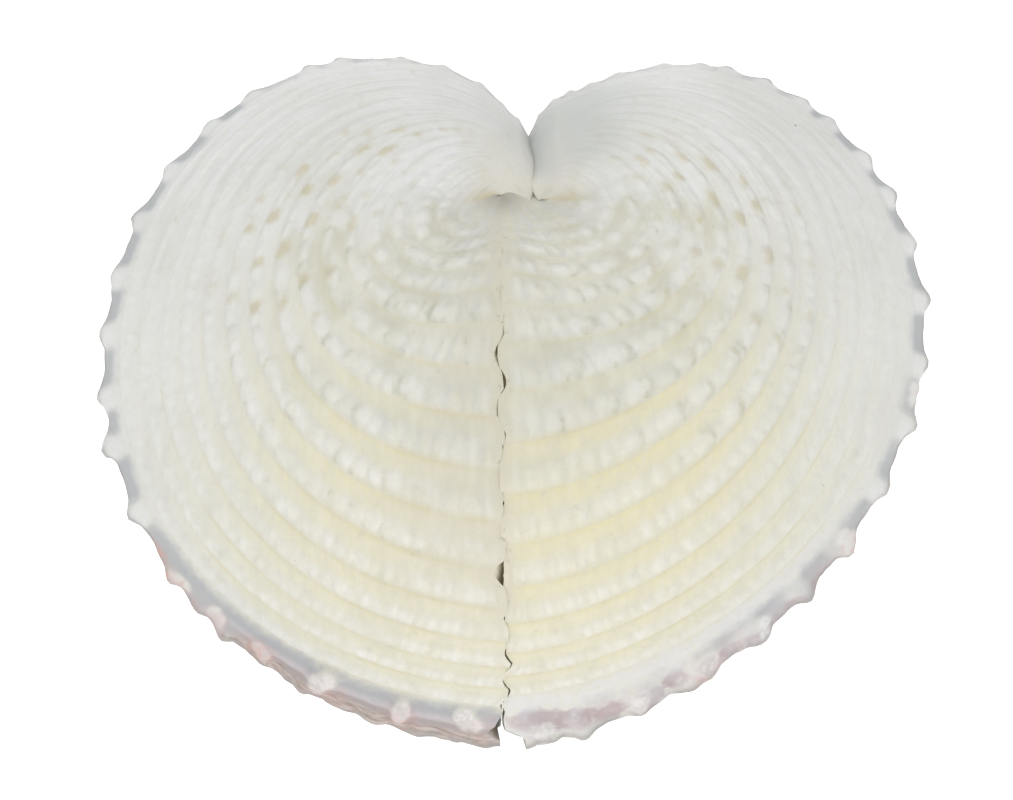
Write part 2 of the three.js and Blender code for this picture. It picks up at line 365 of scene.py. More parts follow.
def open_windows(valve, rng, number, phase, columns_above, degrees, out, lump):
    """Windows where the wall is clear: spots on the lobes, arcs behind a lump nearer the seam."""
    window, lump = np.zeros_like(phase), lump.copy()
    for k, row in valve["windows"].items():
        columns = np.where((number[0] == k) & columns_above)[0]
        inside = phase[:, columns]
        mm = np.radians(degrees[:, columns]) * out[:, columns]
        for at, clear in row:
            here = np.radians(at) * out[:, columns]
            centre, half = 0.66 + 0.08 * rng.random(), 0.48 + 0.22 * rng.random()
            half = half * (0.75 if k < 6 else 1)
            spot = np.exp(-(((inside - centre) / 0.30) ** 2 + ((mm - here) / half) ** 2) ** 1.1)
            du, ds = (inside - 0.60) / 0.34, (mm - here + 0.75) / 0.85
            away = np.hypot(du, ds)
            arc_shape = bump(away - 1.0, 0.28) * ease((ds + 0.5 * du) / np.maximum(away, 0.1) - 0.1)
            round_share = float(ease((at - 44) / 26))
            shape = spot * round_share + arc_shape * (1 - round_share)
            window[:, columns] = np.maximum(window[:, columns], clear * shape)
            near = (1 - ease((away - 0.2) / 0.75)) * (1 - 0.6 * round_share)
            lump[:, columns] = np.maximum(lump[:, columns], near * (0.6 + 0.4 * clear))
    return window, lump


def set_knobs(valve, rng, degrees, v, reach):
    """Where the keel's knobs stand, how far they lift the shell, and the pink blush on them."""
    knob, raised, pink = np.zeros_like(degrees), np.zeros_like(degrees), np.zeros_like(degrees)
    for at, centre, half_length, half_width, height, pinkness in valve["knobs"]:
        s = np.radians(degrees - at) * reach
        across_keel = (v - centre) * reach
        spot = np.zeros_like(degrees)
        for _ in range(4):
            ds, du = (rng.random(2) - 0.5) * (1.1 * half_length, 0.9 * half_width)
            part = np.hypot((s - ds) / (0.62 * half_length), (across_keel - du) / (0.66 * half_width))
            spot = np.maximum(spot, np.exp(-part ** 4) * (0.6 + 0.4 * rng.random()))
        raised += height * np.sqrt(spot)
        knob = np.maximum(knob, spot)
        blush = bump(s, half_length * 1.2) * bump(across_keel - 0.3, half_width * 1.1)
        pink = np.maximum(pink, pinkness * blush)
    return knob, raised, pink


def carve_valve(valve):
    """Positions of the outer face with its relief, and the masks that its colours follow."""
    rng = np.random.default_rng(valve["seed"])
    side = valve["side"]
    v = margin_columns(valve)[None, :]
    rows = growth_rows()[:, None]
    angle = margin_angle(valve, rows, v)
    v = v + 0 * rows
    r, z, f = section(valve, angle, v)
    degrees = np.degrees(angle)
    reach = keel_reach(valve, angle)
    size = (reach / keel_reach(valve, 0)) ** 0.6
    lower = v > 1
    wall = v <= 2
    along = np.where(lower, 2 - v, v)

    # scales stand out from the keel, and the edge sags a little between them
    push, scale = grow_scales(valve, rng, degrees, reach, size)
    at_keel = bump(v - 1, 0.020)
    ragged = 0.16 * (wander(rng, degrees, 1.2) - 0.5) + 0.10 * (wander(rng, degrees, 0.7) - 0.5)
    r = r + size * (push + ragged - 0.20) * at_keel * (1 - 0.6 * bump(degrees - 190, 22))
    flange = (1 - ease((degrees - 26) / 10)) * (side < 0)
    unbroken = (1 - ease((degrees - 42) / 5)) * (1 if side < 0 else 0.6)
    scale = scale * (1 - flange) * (1 - 0.80 * unbroken)

    # the umbones roll down to a peak at the top of the seam
    points = to_space(valve, angle, r, z)
    x, y = points[..., 0], points[..., 1]
    peak = 0.26 * bump(x, 1.2) - 0.24 * bump(x, 0.4)
    peak = peak - 0.62 * (1 - bump(x, 1.7)) * bump(x, 9) - 0.36 * bump(x, 3.4)
    tuck = ease((degrees - 95) / 40) * bump(r, 1.1) * (0.34 if side < 0 else 0.10)
    under = (side > 0) * ease((x - 0.15) / 0.9) * ease(degrees / 10)
    under = under * (1 - ease((degrees - 60) / 30)) * bump(r, 0.7)
    points[..., 1] = y + peak * bump(y, 2.0) - tuck + 0.35 * under
    points[..., 2] -= 0.12 * under * (v <= 1)
    points[..., 0] += 0.35 * bump(y - 1.9, 1.3) * bump(x - 2.1, 1.2)
    normal = outward(points, side)

    # ribs: a smooth inner strip, then a raised outer strip with a quick drop
    rib = along / RIB_PITCH + valve["rib_offset"]
    number = np.floor(rib + 1e-6)
    phase = np.clip(rib - number, 0, 1)
    ribbed = (1 - ease((along - KEEL_BAND + 0.016) / 0.018)) * ease((f - 0.04) / 0.07) * wall
    margin = bump(angle * r, 0.75) * (1 - 0.7 * ease((r - 29) / 3)) * (1 - lower)
    ribbed = ribbed * (1 - 0.85 * ease((degrees - 120) / 40)) * (1 - 0.7 * margin)
    width = RIB_PITCH * reach
    rise = 0.30 * ease(phase / 0.20) + 0.70 * ease((phase - 0.22) / 0.36)
    ridge = rise * ease((1 - phase) / 0.20) * ribbed
    groove = bump(np.minimum(phase, 1 - phase), 0.06) * ribbed

    # lumps, clefts and windows, fading out toward the beak, the keel and the umbones
    steps = np.linalg.norm(np.diff(points, axis=0), axis=2)
    arc = np.concatenate([np.zeros((1, steps.shape[1])), np.cumsum(steps, axis=0)])
    lump, cleft_shade = grow_lumps(rng, number, phase, lower, wall, arc)
    columns_above = ~lower[0] & wall[0]
    window, lump = open_windows(valve, rng, number, phase, columns_above, degrees, reach * f, lump)
    middle = 1 - ease((f - 0.38) / 0.22)
    old = 1 - ease((degrees - 95) / 50)
    flank = 1 - (0.30 if side < 0 else 0.55) * ease((f - 0.62) / 0.22) * ease(degrees / 45)
    edge = ease(phase / 0.12) * ease((1 - phase) / 0.12)
    lump = lump * edge * ribbed * old * ease((f - 0.05) / 0.08) * np.where(lower, 0.3, flank)
    cleft_shade = cleft_shade * (1 - lump) * ribbed * old * ease((f - 0.14) / 0.12) * (1 - ease((f - 0.64) / 0.16))
    cleft_shade = cleft_shade * (1 - lower) * (1 - 0.85 * bump(degrees, 9)) * (1 - ease((degrees - 66) / 36))

    # broad unevenness over the middle of the face
    uneven = np.zeros_like(f)
    for _ in range(9):
        turn, wave = rng.random() * math.pi, 1.4 + 1.2 * rng.random()
        uneven += np.sin((x * math.cos(turn) + y * math.sin(turn)) * math.pi / wave + 6 * rng.random())
    uneven *= bump(f - 0.33, 0.26) * old * (1 - lower) / 3

    # how far ribs, lumps and unevenness lift the face, more boldly near the seam
    calm = (1 - 0.25 * ease((degrees - 50) / 50)) * (1 - 0.35 * ease((f - 0.75) / 0.15))
    calm = calm * (1 + 0.5 * (1 - ease((degrees - 25) / 45)))
    lift = 0.046 * width * ridge * (1 - 0.40 * middle) * calm
    lift += np.minimum(1, width / 1.5) * (0.20 * lump - 0.05 * cleft_shade) + 0.075 * uneven

    # the furrow under the umbones, and fine rays down from the beak
    from_pole = np.hypot(points[..., 0] - pole_x(valve, angle), points[..., 1])
    turned = degrees - 88 - 3 * ease((from_pole - 2) / 5)
    furrow = np.where(turned > 0, bump(turned, 20), bump(turned, 7))
    furrow = furrow * bump(from_pole - 1.5, 4.2) * (1 - lower)
    lift -= 0.24 * furrow * ease((from_pole - 0.7) / 1.6)
    rays = wander(rng, degrees, 3.6) * 0.75 + wander(rng, degrees + 3 * f, 1.6) * 0.25
    near_beak = bump(r, 5.0) * (1 - ease((degrees - 72) / 14)) * (1 - lower) * wall
    lift += 0.05 * (rays - 0.5) * near_beak * ease(r / 1.5)
    tip = bump(points[..., 0] - 0.1, 1.2) * bump(points[..., 1] + 0.4, 1.1) * (degrees < 85)
    umbo = ease((degrees - 98) / 25) * bump(from_pole, 3.4) * (1 - lower)
    ochre = furrow * bump(from_pole - 1.5, 1.7)

    # the keel band: a shallow translucent valley, with knobs
    band = ease((along - KEEL_BAND + 0.002) / 0.028) * wall
    lip = ease((along - LIP_EDGE) / 0.010) * wall
    patchy = 0.70 + 0.30 * wander(rng, degrees, 3.3)
    inward = ease((along - KEEL_BAND + 0.030) / 0.060) * wall * (1 - ease((degrees - 185) / 15))
    grey = inward * (1 - lip * flange) * (1 - 0.95 * scale) * np.maximum(patchy, unbroken)
    grey = grey * (0.78 + 0.22 * np.maximum(unbroken, ease((along - 0.950) / 0.040)))
    grey = grey * (1 - 0.55 * ease((degrees - 100) / 25))
    grey = grey * (1 - 0.50 * (side > 0) * (1 - ease((degrees - 20) / 12)))
    knob, raised, pink = set_knobs(valve, rng, degrees, v, reach)
    lift += raised + 0.34 * size * scale * bump(v - 0.985, 0.020) * wall
    lift -= 0.16 * bump(along - LIP_EDGE, 0.006) * flange * wall * (1 - knob)
    lift -= 0.10 * size * bump(along - 0.967, 0.013) * wall * (1 - scale)
    lift_in = 0.11 * ease((v - 1.02) / 0.15) * wall
    points = points + normal * lift[..., None]
    points = points - normal * lift_in[..., None]

    # the margin follows the seam line, and the older rows ease back to the plain surface
    fade = bump(np.degrees(rows), 3.0)
    points[..., 0] += fade * seam_shift(valve, np.abs(points[..., 1]), v) * wall

    # painted shade in the crease of the umbones and over the right umbo, stains on the keel and the chalky
    # zone inside it
    behind = ease((degrees - 100) / 30)
    crease_shadow = bump(points[..., 0] - 1.9, 2.5) * ease((points[..., 1] - 0.2) / 1.4) * behind
    umbo_shadow = bump(points[..., 0] - 5.5, 4.5) * ease(points[..., 1] / 3) * behind
    painted_shade = np.maximum(crease_shadow, 0.55 * umbo_shadow) * (1.0 if side > 0 else 0.25) * (1 - lower)
    stain = np.zeros_like(f)
    for at, spread, centre, strength in valve["stains"]:
        away = ((degrees - at) / (1.2 * spread)) ** 2 + ((v - centre) / 0.014) ** 2
        stain = np.maximum(stain, 1.1 * strength * np.exp(-away ** 1.5))
    near_point = 1 - ease((degrees - 30) / 25)
    frost = ease((along - 0.885) / 0.04) * (1 - flange * ease((along - 0.968) / 0.012)) * wall
    frost = frost * (0.35 + 0.65 * near_point * (side > 0))

    # strips of yellow
    gold = ease(phase / 0.05) * (1 - ease((phase - 0.26) / 0.36)) * (1 - 0.6 * lump) * ribbed * (1 - lower)
    masks = dict(
        ridge=ridge, groove=groove, gold=gold, lump=lump, cleft_shade=cleft_shade, window=window, arc=arc, rib=rib,
        band=band, grey=grey * (1 - knob), knob=np.maximum(knob, scale * band * 0.8), pink=pink, share=f,
        growth=degrees / 180, rays=rays * near_beak, tip=tip, umbo=umbo, lip=lip * flange,
        joint=bump(along - LIP_EDGE, 0.0045) * flange * wall, painted_shade=painted_shade, margin=margin,
        rim=bump(v - 1.0, 0.008) * wall * (degrees < 200), frost=frost, ochre=ochre, stain=stain,
    )
    return points, masks


def tube_grid(bm, rows, columns):
    """A grid whose last column is welded to its first, as rows of vertices."""
    made = bmesh.ops.create_grid(bm, x_segments=columns, y_segments=rows - 1, size=0.5)["verts"]
    grid = [[None] * (columns + 1) for _ in range(rows)]
    for vert in made:
        i = round((vert.co.x + 0.5) * columns)
        j = round((vert.co.y + 0.5) * (rows - 1))
        grid[j][i] = vert
    bmesh.ops.weld_verts(bm, targetmap={row[-1]: row[0] for row in grid})
    return [row[:-1] for row in grid]


def place(grid, points):
    """Move a grid's vertices to their points."""
    for row, places in zip(grid, points.tolist()):
        for vert, co in zip(row, places):
            vert.co = co


def ring_edges(bm, row):
    """The edges that join the vertices of one row of a tube."""
    ring = set(row)
    return [e for e in {edge for vert in row for edge in vert.link_edges} if ring.issuperset(e.verts)]


def add_object(name, bm, smooth=True):
    """Turn finished geometry into an object in the scene."""
    mesh = bpy.data.meshes.new(name)
    bm.to_mesh(mesh)
    bm.free()
    mesh.polygons.foreach_set("use_smooth", [smooth] * len(mesh.polygons))
    made = bpy.data.objects.new(name, mesh)
    bpy.context.scene.collection.objects.link(made)
    return made


CAVITY_ROWS = 30
CAVITY_COLUMNS = 41


def build_valve(name, valve):
    """One valve as a closed thin wall: the carved outside, the plain hollow and the margin between."""
    points, masks = carve_valve(valve)
    bm = bmesh.new()
    outer = tube_grid(bm, *points.shape[:2])
    place(outer, points)

    # the hollow: the same sections shrunk about their middle, its rim drawn back near the point
    v = np.concatenate([np.linspace(0, 2, CAVITY_COLUMNS), POLE_COLUMNS])[None, :]
    angle = margin_angle(valve, np.radians(np.linspace(0, CAVITY_END, CAVITY_ROWS))[:, None], v)
    drawn_back = np.radians(valve["retreat"]) * ease((0.12 - np.abs(v[0] - 1)) / 0.07)
    angle[0] = np.maximum(angle[0], drawn_back)
    r, z, f = section(valve, angle, v)
    shrink = 1 - WALL / (0.5 * (UPPER["rise"] + LOWER["rise"]) * height_scale(angle, 0))
    middle_r = 0.46 * keel_reach(valve, angle)
    middle_z = -2 * height_scale(angle, 1)
    hollow = to_space(
        valve, angle, middle_r + shrink * (r - middle_r), middle_z + shrink * (z - middle_z))
    hollow[0, :, 0] += valve["side"] * 0.1 + seam_shift(valve, np.abs(hollow[0, :, 1]), v[0])
    inner = tube_grid(bm, *hollow.shape[:2])
    place(inner, hollow)
    bmesh.ops.bridge_loops(bm, edges=ring_edges(bm, outer[0]) + ring_edges(bm, inner[0]))
    for end in (outer[-1], inner[-1]):
        bmesh.ops.holes_fill(bm, edges=ring_edges(bm, end), sides=0)
    bmesh.ops.translate(bm, vec=BEAK, verts=bm.verts)
    bmesh.ops.scale(bm, vec=(MM, MM, MM), verts=bm.verts)
    bmesh.ops.recalc_face_normals(bm, faces=bm.faces)
    bm.verts.index_update()
    outside_order = [vert.index for row in outer for vert in row]
    inside_order = [vert.index for row in inner for vert in row]

    piece = add_object(name, bm)
    layers = [(mask, outside_order, values.reshape(-1)) for mask, values in masks.items()]
    for mask, order, values in layers + [("inside", inside_order, 1)]:
        spread = np.zeros(len(piece.data.vertices), np.float32)
        spread[order] = values
        piece.data.attributes.new(mask, "FLOAT", "POINT").data.foreach_set("value", spread)
    piece.data.set_sharp_from_angle(angle=math.radians(70))
    return piece


left_shell = build_valve("left_shell", LEFT)
right_shell = build_valve("right_shell", RIGHT)


def srgb(*channels):
    """A display colour, 0 to 255, as the linear colour that shaders take."""
    linear = [c / 255 / 12.92 if c <= 10 else ((c / 255 + 0.055) / 1.055) ** 2.4 for c in channels]
    return (*linear, 1.0)


class Wiring:
    """Short calls for adding nodes to one tree."""
    def __init__(self, tree):
        self.tree = tree

    def node(self, kind, **settings):
        made = self.tree.nodes.new(kind)
        for key, value in settings.items():
            setattr(made, key, value)
        return made

    def feed(self, socket, value):
        if isinstance(value, bpy.types.NodeSocket):
            self.tree.links.new(value, socket)
        else:
            socket.default_value = value

    def mask(self, name):
        return self.node("ShaderNodeAttribute", attribute_name=name).outputs["Fac"]

    def calc(self, operation, a, b, clamp=False):
        made = self.node("ShaderNodeMath", operation=operation, use_clamp=clamp)
        self.feed(made.inputs[0], a)
        self.feed(made.inputs[1], b)
        return made.outputs[0]

    def times(self, a, b, clamp=False):
        return self.calc("MULTIPLY", a, b, clamp)

    def plus(self, a, b):
        return self.calc("ADD", a, b)

    def minus(self, a, b, clamp=False):
        return self.calc("SUBTRACT", a, b, clamp)

    def blend(self, share, a, b):
        made = self.node("ShaderNodeMix", data_type="RGBA")
        self.feed(made.inputs["Factor"], share)
        self.feed(made.inputs["A"], a)
        self.feed(made.inputs["B"], b)
        return made.outputs["Result"]

    def ramp(self, value, low, high, to_low=0.0, to_high=1.0):
        made = self.node("ShaderNodeMapRange", interpolation_type="SMOOTHSTEP")
        sockets = ("Value", "From Min", "From Max", "To Min", "To Max")
        for socket, given in zip(sockets, (value, low, high, to_low, to_high)):
            self.feed(made.inputs[socket], given)
        return made.outputs["Result"]

    def on_ribs(self, along, across):
        """A place on the shell that follows its ribs: mm of growth, then rib number."""
        made = self.node("ShaderNodeCombineXYZ")
        self.feed(made.inputs["X"], self.times(self.mask("arc"), along))
        self.feed(made.inputs["Y"], self.times(self.mask("rib"), across))
        return made.outputs["Vector"]

    def noise(self, scale, detail=3.0, place=None, roughness=0.55):
        made = self.node("ShaderNodeTexNoise")
        self.feed(made.inputs["Vector"], place or self.node("ShaderNodeTexCoord").outputs["Object"])
        made.inputs["Scale"].default_value = scale
        made.inputs["Detail"].default_value = detail
        made.inputs["Roughness"].default_value = roughness
        return made.outputs["Fac"]


CREAM = srgb(222, 219, 200)
CHALK = srgb(224, 225, 221)
LOBE_WHITE = srgb(234, 236, 240)
GOLD = srgb(235, 225, 172)
PALE_YELLOW = srgb(228, 222, 190)
LUMP_WHITE = srgb(229, 229, 224)
# painted shade between the lumps
BAR_SHADE_GREY = srgb(203, 205, 201)
MARGIN_CREAM = srgb(213, 208, 188)
FROST_WHITE = srgb(225, 224, 222)
RIM_GREY = srgb(160, 156, 154)
LIP_PALE = srgb(202, 188, 184)
SHADE_GREY = srgb(208, 209, 202)
SHADE_OLIVE = srgb(204, 201, 180)
# painted shade for the crease of the umbones
CREASE_SHADE_GREY = srgb(184, 188, 187)
UMBO_CREAM = srgb(221, 215, 198)
LUMP_CREAM = srgb(239, 237, 231)
# painted shade between the lumps on the lower face
BAR_SHADE_CREAM = srgb(221, 217, 203)
WINDOW_TAN = srgb(196, 184, 142)
WINDOW_GREEN = srgb(182, 182, 162)
# painted shadow in the clefts behind the lumps
CLEFT_SHADOW_OLIVE = srgb(174, 172, 150)
GROOVE_OCHRE = srgb(212, 200, 158)
BEAK_GREY = srgb(206, 207, 208)
PEAK_GREY = srgb(162, 156, 147)
FURROW_OCHRE = srgb(210, 196, 154)
KEEL_GREY = srgb(180, 183, 186)
KEEL_DARK = srgb(168, 171, 176)
KEEL_MAUVE = srgb(197, 191, 195)
STAIN_MAUVE = srgb(180, 162, 165)
KNOB_WHITE = srgb(232, 232, 231)
KNOB_CLEAR = srgb(204, 200, 200)
SCALE_WHITE = srgb(227, 229, 228)
KEEL_PINK = srgb(208, 162, 155)
LIP_BROWN = srgb(156, 138, 132)
JOINT_BROWN = srgb(140, 122, 116)
SPECK_BROWN = srgb(132, 126, 112)
PIT_TAN = srgb(176, 166, 150)
# painted light: a faint glow for the inside faces
INNER_PAINTED_GLOW = srgb(54, 50, 41)


def shell_group():
    """Colour, roughness and height of the shell's skin, and a painted glow for its inside, shared by both
    valves.
    """
    group = bpy.data.node_groups.new("shell_skin", "ShaderNodeTree")
    for label, default in (("Gold", 1.0), ("Windows", 1.0), ("Blush", 1.0), ("Dull", 0.3)):
        socket = group.interface.new_socket(label, in_out="INPUT", socket_type="NodeSocketFloat")
        socket.default_value = default
    for label, kind in (("Color", "NodeSocketColor"), ("Roughness", "NodeSocketFloat"),
                        ("Height", "NodeSocketFloat"), ("Glow", "NodeSocketColor")):
        group.interface.new_socket(label, in_out="OUTPUT", socket_type=kind)
    w = Wiring(group)
    given = w.node("NodeGroupInput")
    out = w.node("NodeGroupOutput")
    share, growth, lump = w.mask("share"), w.mask("growth"), w.mask("lump")
    knob, pink = w.mask("knob"), w.mask("pink")
    patch = w.noise(1.0, 2, w.on_ribs(0.55, 0.9))

    # noises used in more than one place
    cloud = w.noise(110, 4)
    crumb = w.minus(w.noise(1700, 3), 0.5)
    fine = w.noise(800, 3)
    mottle = w.noise(420, 2)

    # cream near the seam, whiter further back, with greyish clouds
    away = w.ramp(w.plus(growth, w.times(share, 0.30)), 0.22, 0.62)
    colour = w.blend(away, CREAM, CHALK)
    colour = w.blend(w.ramp(growth, 0.36, 0.60, 0.0, 0.65), colour, LOBE_WHITE)
    colour = w.blend(w.ramp(cloud, 0.38, 0.66, 0.0, 0.45), colour, SHADE_GREY)
    inner = w.times(w.ramp(growth, 0.40, 0.60, 1.0, 0.3), w.ramp(share, 0.42, 0.66, 1.0, 0.0))
    dull = w.times(inner, w.ramp(w.noise(330, 3), 0.40, 0.66, 0.0, 0.85))
    colour = w.blend(dull, colour, SHADE_OLIVE)

    # yellow on the smooth inner strip of each rib
    warm = w.times(w.ramp(share, 0.45, 0.62), w.ramp(growth, 0.10, 0.34, 0.42, 0.0))
    colour = w.blend(warm, colour, PALE_YELLOW)
    near_seam = w.ramp(growth, 0.06, 0.42, 1.0, 0.10)
    mid_share = w.times(w.ramp(share, 0.34, 0.52), w.ramp(share, 0.64, 0.90, 1.0, 0.38))
    uneven = w.times(w.minus(w.noise(1.0, 2, w.on_ribs(0.7, 2.2)), 0.5), 1.1)
    strip = w.ramp(w.plus(w.mask("gold"), uneven), 0.05, 0.85)
    gold = w.times(w.times(strip, near_seam), mid_share)
    gold = w.times(gold, w.ramp(patch, 0.3, 0.7, 0.35, 1.0))
    colour = w.blend(w.times(gold, given.outputs["Gold"], clamp=True), colour, GOLD)

    # lumps, the painted shade in the bars between them, and fine wrinkles
    seamward = w.times(w.ramp(growth, 0.05, 0.16, 1.0, 0.0), w.ramp(share, 0.60, 0.85, 1.0, 0.2))
    dulled = w.times(seamward, given.outputs["Dull"])
    colour = w.blend(dulled, colour, MARGIN_CREAM)
    low_face = w.times(w.ramp(share, 0.42, 0.66), w.ramp(growth, 0.10, 0.40, 1.0, 0.0))
    low_face = w.times(low_face, w.ramp(share, 0.88, 0.95, 1.0, 0.3))
    lump_colour = w.blend(low_face, LUMP_WHITE, LUMP_CREAM)
    bar_shade_colour = w.blend(low_face, BAR_SHADE_GREY, BAR_SHADE_CREAM)
    white = w.times(w.mask("ridge"), w.ramp(patch, 0.35, 0.65, 0.05, 0.55))
    colour = w.blend(white, colour, lump_colour)
    gap = w.minus(1.0, w.times(lump, 1.5), clamp=True)
    # painted shade: the ridge between the lumps is darkened as if shaded by them
    between = w.times(w.mask("ridge"), gap)
    bar_shade = w.ramp(w.noise(1.0, 2, w.on_ribs(0.6, 1.3)), 0.32, 0.66, 0.20, 0.80)
    bar_shade = w.times(bar_shade, w.ramp(growth, 0.16, 0.42, 1.0, 0.2))
    colour = w.blend(w.times(between, bar_shade), colour, bar_shade_colour)
    boldness = w.times(w.ramp(patch, 0.32, 0.66, 0.45, 0.90), w.minus(1.0, dulled))
    colour = w.blend(w.times(lump, boldness, clamp=True), colour, lump_colour)
    wrinkle = w.noise(1.0, 2, w.on_ribs(1.7, 1.5))
    crossing = w.ramp(growth, 0.20, 0.45, 0.22, 0.06)
    colour = w.blend(w.times(w.ramp(wrinkle, 0.45, 0.70), crossing), colour, SHADE_GREY)
    colour = w.blend(w.times(w.ramp(wrinkle, 0.55, 0.30), crossing), colour, LUMP_WHITE)
    drawn = w.noise(1.0, 2, w.on_ribs(0.20, 3.0))
    along_lobe = w.times(w.ramp(drawn, 0.45, 0.70, 0.0, 0.50), w.ramp(growth, 0.25, 0.55))
    colour = w.blend(along_lobe, colour, SHADE_GREY)
    yellowed = w.times(w.times(near_seam, mid_share), w.minus(given.outputs["Gold"], 0.7))
    colour = w.blend(w.times(yellowed, 0.62, clamp=True), colour, PALE_YELLOW)

    # painted shadow in the clefts behind the lumps, windows and the lines between ribs
    ragged = w.plus(w.minus(fine, 0.5), w.times(crumb, 0.6))
    # painted shadow: olive crescents where a lump would shade the slight dip behind it
    cleft_shade = w.ramp(w.plus(w.mask("cleft_shade"), ragged), 0.18, 1.05, 0.0, 0.60)
    colour = w.blend(cleft_shade, colour, CLEFT_SHADOW_OLIVE)
    window_colour = w.blend(w.ramp(growth, 0.16, 0.42), WINDOW_GREEN, WINDOW_TAN)
    window = w.ramp(w.plus(w.mask("window"), w.times(ragged, 1.2)), 0.04, 0.95, 0.0, 0.60)
    window = w.times(window, given.outputs["Windows"], clamp=True)
    colour = w.blend(window, colour, window_colour)
    line = w.times(w.mask("groove"), w.ramp(share, 0.15, 0.45, 0.05, 0.38))
    line = w.times(line, w.ramp(growth, 0.20, 0.42, 1.0, 0.35))
    line = w.times(line, w.ramp(w.noise(260, 3), 0.38, 0.62, 0.15, 1.0))
    colour = w.blend(line, colour, GROOVE_OCHRE)

    # the margin along the seam, the beak and the umbones
    colour = w.blend(w.times(w.mask("margin"), 0.65), colour, MARGIN_CREAM)
    pits = w.times(w.ramp(w.mask("margin"), 0.5, 1.0), w.ramp(w.noise(1900, 2), 0.60, 0.72, 0.0, 0.5))
    colour = w.blend(pits, colour, PIT_TAN)
    rays = w.ramp(w.plus(w.mask("rays"), w.times(ragged, 0.6)), 0.05, 0.80, 0.0, 0.55)
    colour = w.blend(rays, colour, BEAK_GREY)
    colour = w.blend(w.times(w.mask("umbo"), 0.6), colour, UMBO_CREAM)
    # painted shade: grey where the left umbo overhangs the crease, and over the right umbo
    colour = w.blend(w.times(w.mask("painted_shade"), w.ramp(cloud, 0.3, 0.6, 0.6, 0.9)), colour, CREASE_SHADE_GREY)
    colour = w.blend(w.times(w.mask("ochre"), 0.55), colour, FURROW_OCHRE)
    colour = w.blend(w.times(w.mask("tip"), w.ramp(mottle, 0.3, 0.6, 0.6, 0.95)), colour, PEAK_GREY)

    # the keel: frost, the grey and mauve band, stains, lip, knobs, rim and pink blush
    across_band = w.ramp(w.plus(w.mask("band"), w.times(crumb, 0.4)), 0.55, 1.15)
    pointward = w.blend(across_band, KEEL_DARK, KEEL_MAUVE)
    keel_colour = w.blend(w.ramp(growth, 0.14, 0.24), pointward, KEEL_GREY)
    frosted = w.times(w.mask("frost"), w.ramp(w.plus(mottle, crumb), 0.3, 0.65, 0.6, 1.0))
    colour = w.blend(frosted, colour, FROST_WHITE)
    blurred = w.plus(w.minus(mottle, 0.5), w.times(crumb, 0.5))
    uneven_grey = w.plus(w.mask("grey"), w.times(blurred, 0.6))
    colour = w.blend(w.ramp(uneven_grey, 0.06, 0.80, 0.0, 0.95), colour, keel_colour)
    stained = w.plus(w.mask("stain"), w.times(crumb, 1.1))
    mauve = w.blend(w.ramp(mottle, 0.35, 0.65), STAIN_MAUVE, KEEL_MAUVE)
    colour = w.blend(w.ramp(stained, 0.10, 0.85, 0.0, 0.95), colour, mauve)
    layers = w.ramp(w.noise(1.0, 3, w.on_ribs(0.9, 12.0)), 0.35, 0.65)
    lip_colour = w.blend(layers, LIP_BROWN, LIP_PALE)
    colour = w.blend(w.ramp(w.plus(w.mask("lip"), ragged), 0.3, 0.6, 0.0, 0.95), colour, lip_colour)
    colour = w.blend(w.times(w.mask("joint"), 0.7), colour, JOINT_BROWN)
    knob_colour = w.blend(w.ramp(crumb, -0.12, 0.12, 0.90, 0.05), KNOB_WHITE, KNOB_CLEAR)
    knob_colour = w.blend(w.ramp(growth, 0.14, 0.24), knob_colour, SCALE_WHITE)
    knobbed = w.plus(knob, w.times(crumb, 0.6))
    knob_cover = w.ramp(growth, 0.14, 0.24, 0.9, 0.65)
    colour = w.blend(w.ramp(knobbed, 0.15, 0.80, 0.0, knob_cover), colour, knob_colour)
    rim = w.times(w.mask("rim"), w.ramp(w.noise(500, 3), 0.32, 0.56, 0.15, 0.95))
    colour = w.blend(rim, colour, RIM_GREY)
    faint = w.times(w.mask("band"), w.ramp(growth, 0.16, 0.30, 0.22, 0.0))
    faint = w.times(faint, w.ramp(w.noise(300, 2), 0.50, 0.66))
    blotched = w.ramp(w.plus(mottle, crumb), 0.38, 0.66, 0.22, 0.9)
    pink = w.times(w.calc("MAXIMUM", pink, faint), blotched)
    colour = w.blend(w.times(pink, given.outputs["Blush"], clamp=True), colour, KEEL_PINK)

    # dark specks and a fine grain
    specks = w.node("ShaderNodeTexVoronoi")
    w.feed(specks.inputs["Vector"], w.node("ShaderNodeTexCoord").outputs["Object"])
    specks.inputs["Scale"].default_value = 190
    speck = w.ramp(specks.outputs["Distance"], 0.012, 0.026, 0.55, 0.0)
    colour = w.blend(speck, colour, SPECK_BROWN)

    grain = w.noise(2600, 2)
    colour = w.blend(w.ramp(grain, 0.35, 0.65, 0.10, 0.0), colour, SHADE_OLIVE)
    height = w.plus(fine, w.times(grain, 0.5))
    height = w.plus(height, w.times(wrinkle, 0.9))
    height = w.plus(height, w.times(layers, w.mask("lip")))
    w.feed(out.inputs["Color"], colour)
    w.feed(out.inputs["Roughness"], w.ramp(cloud, 0.3, 0.7, 0.40, 0.56))
    w.feed(out.inputs["Height"], height)
    # painted light: the inside faces glow faintly, so the cracks along the seam look lit within
    w.feed(out.inputs["Glow"], w.blend(w.mask("inside"), (0, 0, 0, 1), INNER_PAINTED_GLOW))
    return group


skin = shell_group()


